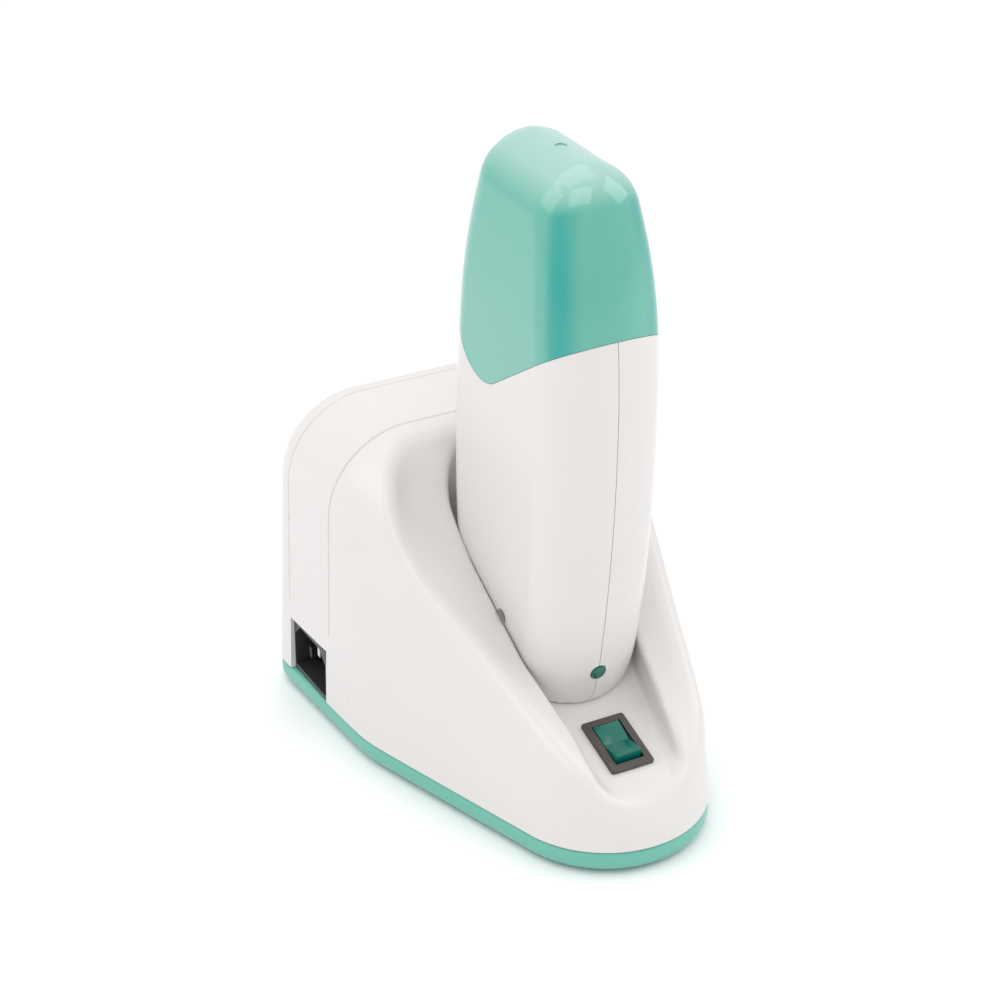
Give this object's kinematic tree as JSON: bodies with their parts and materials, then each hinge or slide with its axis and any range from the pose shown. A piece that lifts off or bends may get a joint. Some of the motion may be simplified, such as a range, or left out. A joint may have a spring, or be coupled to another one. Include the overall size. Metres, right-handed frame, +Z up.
{
  "type": "roll on wax heater",
  "caption": "Handheld cartridge wax heater standing upright in the sloping cradle of its desk dock, with a lift-off cap, a rocker switch and a roller cartridge inside.",
  "frame": {"origin": "on the table under the middle of the dock's footprint", "axes": "+Z up, the nose of the dock with its switch towards -Y, the mains inlet in the -X wall"},
  "size_m": [0.1146, 0.1604, 0.2144],
  "materials": {
    "white_plastic": "satin moulded",
    "mint_plastic": "satin moulded",
    "lid_plastic": "glossy, slightly translucent",
    "foot_rubber": "matte",
    "screw_steel": "plain",
    "inlet_plastic": "fine grain",
    "pin_nickel": "nickel plated",
    "switch_plastic": "fine grain",
    "terminal_brass": "plain",
    "rocker_plastic": "translucent, polished",
    "lead_sleeve": "matte sleeve",
    "lens_plastic": "faceted, clear",
    "lamp_board": "plain",
    "chamber_aluminium": "drawn",
    "heater_ceramic": "plain",
    "cartridge_plastic": "filled with wax",
    "yoke_plastic": "smooth moulded"
  },
  "bodies": {
    "dock": {"dock_shell": "white_plastic", "base_plate": "mint_plastic", "rubber_feet": "foot_rubber", "base_screws": "screw_steel", "inlet_body": "inlet_plastic", "inlet_pins": "pin_nickel", "switch_body": "switch_plastic", "switch_terminals": "terminal_brass", "contact_block": "inlet_plastic", "contact_posts": "terminal_brass", "dock_leads": "lead_sleeve"},
    "rocker": {"rocker": "rocker_plastic"},
    "handset": {"left_shell": "white_plastic", "right_shell": "white_plastic", "shell_screws": "screw_steel", "indicator_lens": "lens_plastic", "indicator_lamp": "lamp_board", "heating_chamber": "chamber_aluminium", "heater_plates": "heater_ceramic", "thermostat": "chamber_aluminium", "thermal_fuse": "pin_nickel", "contact_socket": "inlet_plastic", "handset_leads": "lead_sleeve", "cartridge_body": "cartridge_plastic", "roller_yoke": "yoke_plastic"},
    "lid": {"lid": "lid_plastic"},
    "roller": {"roller": "yoke_plastic"}
  },
  "joints": [
    {"name": "rocker_tilt", "type": "hinge", "parent": "dock", "child": "rocker", "pos_m": [0, -0.05409, 0.0285], "axis": [1, 0, 0], "range_deg": [0, 16]},
    {"name": "handset_lift", "type": "slide", "parent": "dock", "child": "handset", "axis": [0, 0, 1], "range_m": [0, 0.12]},
    {"name": "lid_lift", "type": "slide", "parent": "handset", "child": "lid", "axis": [0, 0, 1], "range_m": [0, 0.08]},
    {"name": "roller_spin", "type": "hinge", "parent": "handset", "child": "roller", "pos_m": [0, -0.0138, 0.177], "axis": [0, 1, 0], "continuous": true}
  ]
}
